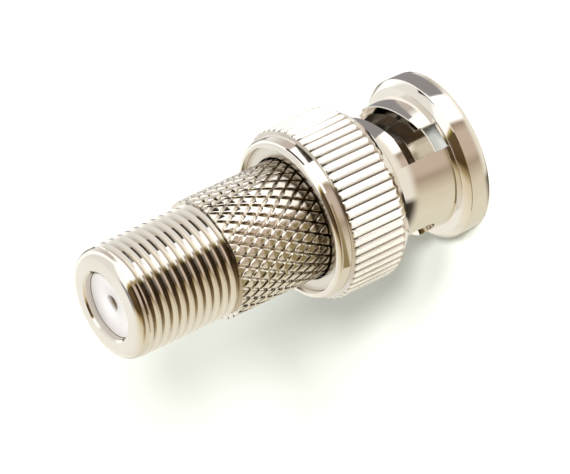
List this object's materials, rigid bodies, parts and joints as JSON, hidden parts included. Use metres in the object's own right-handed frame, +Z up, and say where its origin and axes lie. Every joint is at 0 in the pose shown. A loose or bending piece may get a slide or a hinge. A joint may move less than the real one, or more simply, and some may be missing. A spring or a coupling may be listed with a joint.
{
  "type": "coaxial adapter, threaded f jack to bayonet plug",
  "caption": "Straight coaxial adapter: threaded F jack and knurled barrel in line with a bayonet plug whose sprung, knurled nut turns freely.",
  "frame": {"origin": "on the axis, in the plane of the bayonet nut's front rim, on which the part stands", "axes": "+Z up the axis from the bayonet plug to the F jack; the lug entries of the nut lie on -Y and +Y"},
  "size_m": [0.0146, 0.0146, 0.0327],
  "materials": {
    "nickel_body": "bright nickel plate on turned brass",
    "nickel_nut": "bright nickel plate on turned brass",
    "nickel_washer": "nickel plate, flat stamped ring",
    "nickel_sleeve": "bright nickel plate on turned brass",
    "white_insulator": "smooth white plastic",
    "contact_brass": "plated turned brass",
    "gasket_rubber": "matt rubber",
    "spring_steel": "spring steel strip",
    "slip_steel": "thin steel washer"
  },
  "bodies": {
    "adapter_body": {"main_body": "nickel_body", "f_insulator": "white_insulator", "centre_contact": "contact_brass", "bnc_insulator": "white_insulator", "outer_contact": "nickel_sleeve", "gasket": "gasket_rubber", "wave_spring": "spring_steel"},
    "nut_carrier": {"slip_washer": "slip_steel"},
    "bayonet_nut": {"coupling_nut": "nickel_nut", "retaining_washer": "nickel_washer"}
  },
  "joints": [
    {"name": "nut_pull", "type": "slide", "parent": "adapter_body", "child": "nut_carrier", "axis": [0, 0, -1], "range_m": [0, 0.00135], "stiffness_N_per_m": 800, "springref_m": -0.0008, "deforming": ["wave_spring"]},
    {"name": "nut_turn", "type": "hinge", "parent": "nut_carrier", "child": "bayonet_nut", "pos_m": [0, 0, 0.0075], "axis": [0, 0, 1], "continuous": true}
  ]
}
